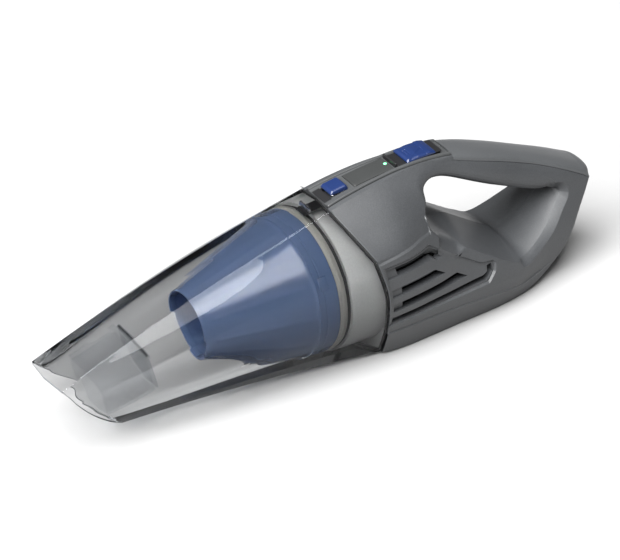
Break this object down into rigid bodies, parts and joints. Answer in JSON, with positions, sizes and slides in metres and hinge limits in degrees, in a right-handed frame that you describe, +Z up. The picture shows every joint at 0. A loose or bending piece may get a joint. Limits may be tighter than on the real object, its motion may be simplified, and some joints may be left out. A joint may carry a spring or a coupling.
{
  "type": "handheld vacuum",
  "caption": "Cordless handheld vacuum with a faceted smoke-clear dust bowl, blue filter cone, slotted grey body and closed loop handle.",
  "frame": {"origin": "centre of the bounding box at its base, in the plane of the flat underside it rests on", "axes": "+X along the body from the nozzle to the handle, +Y across the body to the side away from the pictured one, +Z up from the flat base"},
  "size_m": [0.4238, 0.106, 0.1265],
  "materials": {
    "body_grey": "fine satin dark grey with a faint metallic grain",
    "strip_grey": "smooth dark grey",
    "panel_dark": "glossy dark window",
    "led_green": "green light lens",
    "black_plastic": "matte black",
    "board_green": "green circuit board",
    "pale_plastic": "light grey moulded plastic",
    "motor_steel": "drawn steel can",
    "mount_rubber": "dark rubber",
    "cell_wrap": "shrink wrap",
    "foam_black": "open foam",
    "screw_steel": "plain steel",
    "seal_rubber": "black rubber",
    "smoke_clear": "smoke grey clear plastic",
    "duct_clear": "clear plastic",
    "blue_clear": "translucent blue plastic",
    "flange_grey": "warm light grey plastic",
    "filter_paper": "white pleated filter paper",
    "button_blue": "glossy blue",
    "fan_plastic": "dark moulded plastic"
  },
  "bodies": {
    "body": {"housing_left": "body_grey", "housing_right": "body_grey", "control_strip": "strip_grey", "grip_cover": "body_grey", "status_panel": "panel_dark", "led_lens": "led_green", "slider_track": "black_plastic", "switch_body": "black_plastic", "control_board": "board_green", "fan_shroud": "pale_plastic", "motor_can": "motor_steel", "motor_endcap": "black_plastic", "motor_mount": "mount_rubber", "battery_cells": "cell_wrap", "cell_holder": "black_plastic", "exhaust_foam_left": "foam_black", "exhaust_foam_right": "foam_black", "charge_socket": "black_plastic", "housing_screws": "screw_steel", "bulkhead": "pale_plastic", "seam_gasket": "seal_rubber", "latch_pin": "screw_steel", "button_spring": "screw_steel"},
    "bowl": {"dust_bowl": "smoke_clear", "inlet_duct": "duct_clear", "flap_pin": "screw_steel", "latch_strike": "screw_steel"},
    "flap": {"inlet_flap": "seal_rubber"},
    "filter": {"filter_cup": "blue_clear", "filter_flange": "flange_grey", "filter_seal": "seal_rubber", "filter_cage": "black_plastic", "filter_element": "filter_paper"},
    "button": {"release_button": "button_blue"},
    "latch": {"latch_lever": "black_plastic"},
    "switch_knob": {"power_slider": "button_blue"},
    "rotor": {"impeller": "fan_plastic", "motor_shaft": "screw_steel"}
  },
  "joints": [
    {"name": "bowl_pull", "type": "slide", "parent": "body", "child": "bowl", "axis": [-1, 0, 0], "range_m": [0, 0.14]},
    {"name": "flap_swing", "type": "hinge", "parent": "bowl", "child": "flap", "pos_m": [-0.14423, 0, 0.05666], "axis": [0, -1, 0], "range_deg": [0, 60], "stiffness_Nm_per_rad": 0.02},
    {"name": "filter_twist", "type": "hinge", "parent": "body", "child": "filter", "pos_m": [-0.013, 0, 0.056], "axis": [1, 0, 0], "range_deg": [0, 25]},
    {"name": "button_press", "type": "slide", "parent": "body", "child": "button", "axis": [0, 0, -1], "range_m": [0, 0.0015], "stiffness_N_per_m": 1500, "deforming": ["button_spring"]},
    {"name": "latch_tilt", "type": "hinge", "parent": "body", "child": "latch", "pos_m": [0.0222, 0, 0.107], "axis": [0, -1, 0], "range_deg": [0, 9.88]},
    {"name": "power_slide", "type": "slide", "parent": "body", "child": "switch_knob", "axis": [-1, 0, 0], "range_m": [0, 0.007]},
    {"name": "motor_spin", "type": "hinge", "parent": "body", "child": "rotor", "pos_m": [0.057, 0, 0.046], "axis": [1, 0, 0], "continuous": true}
  ],
  "couplings": [
    {"joint": "latch_tilt", "follows": "button_press", "rad_per_m": 114.94}
  ]
}
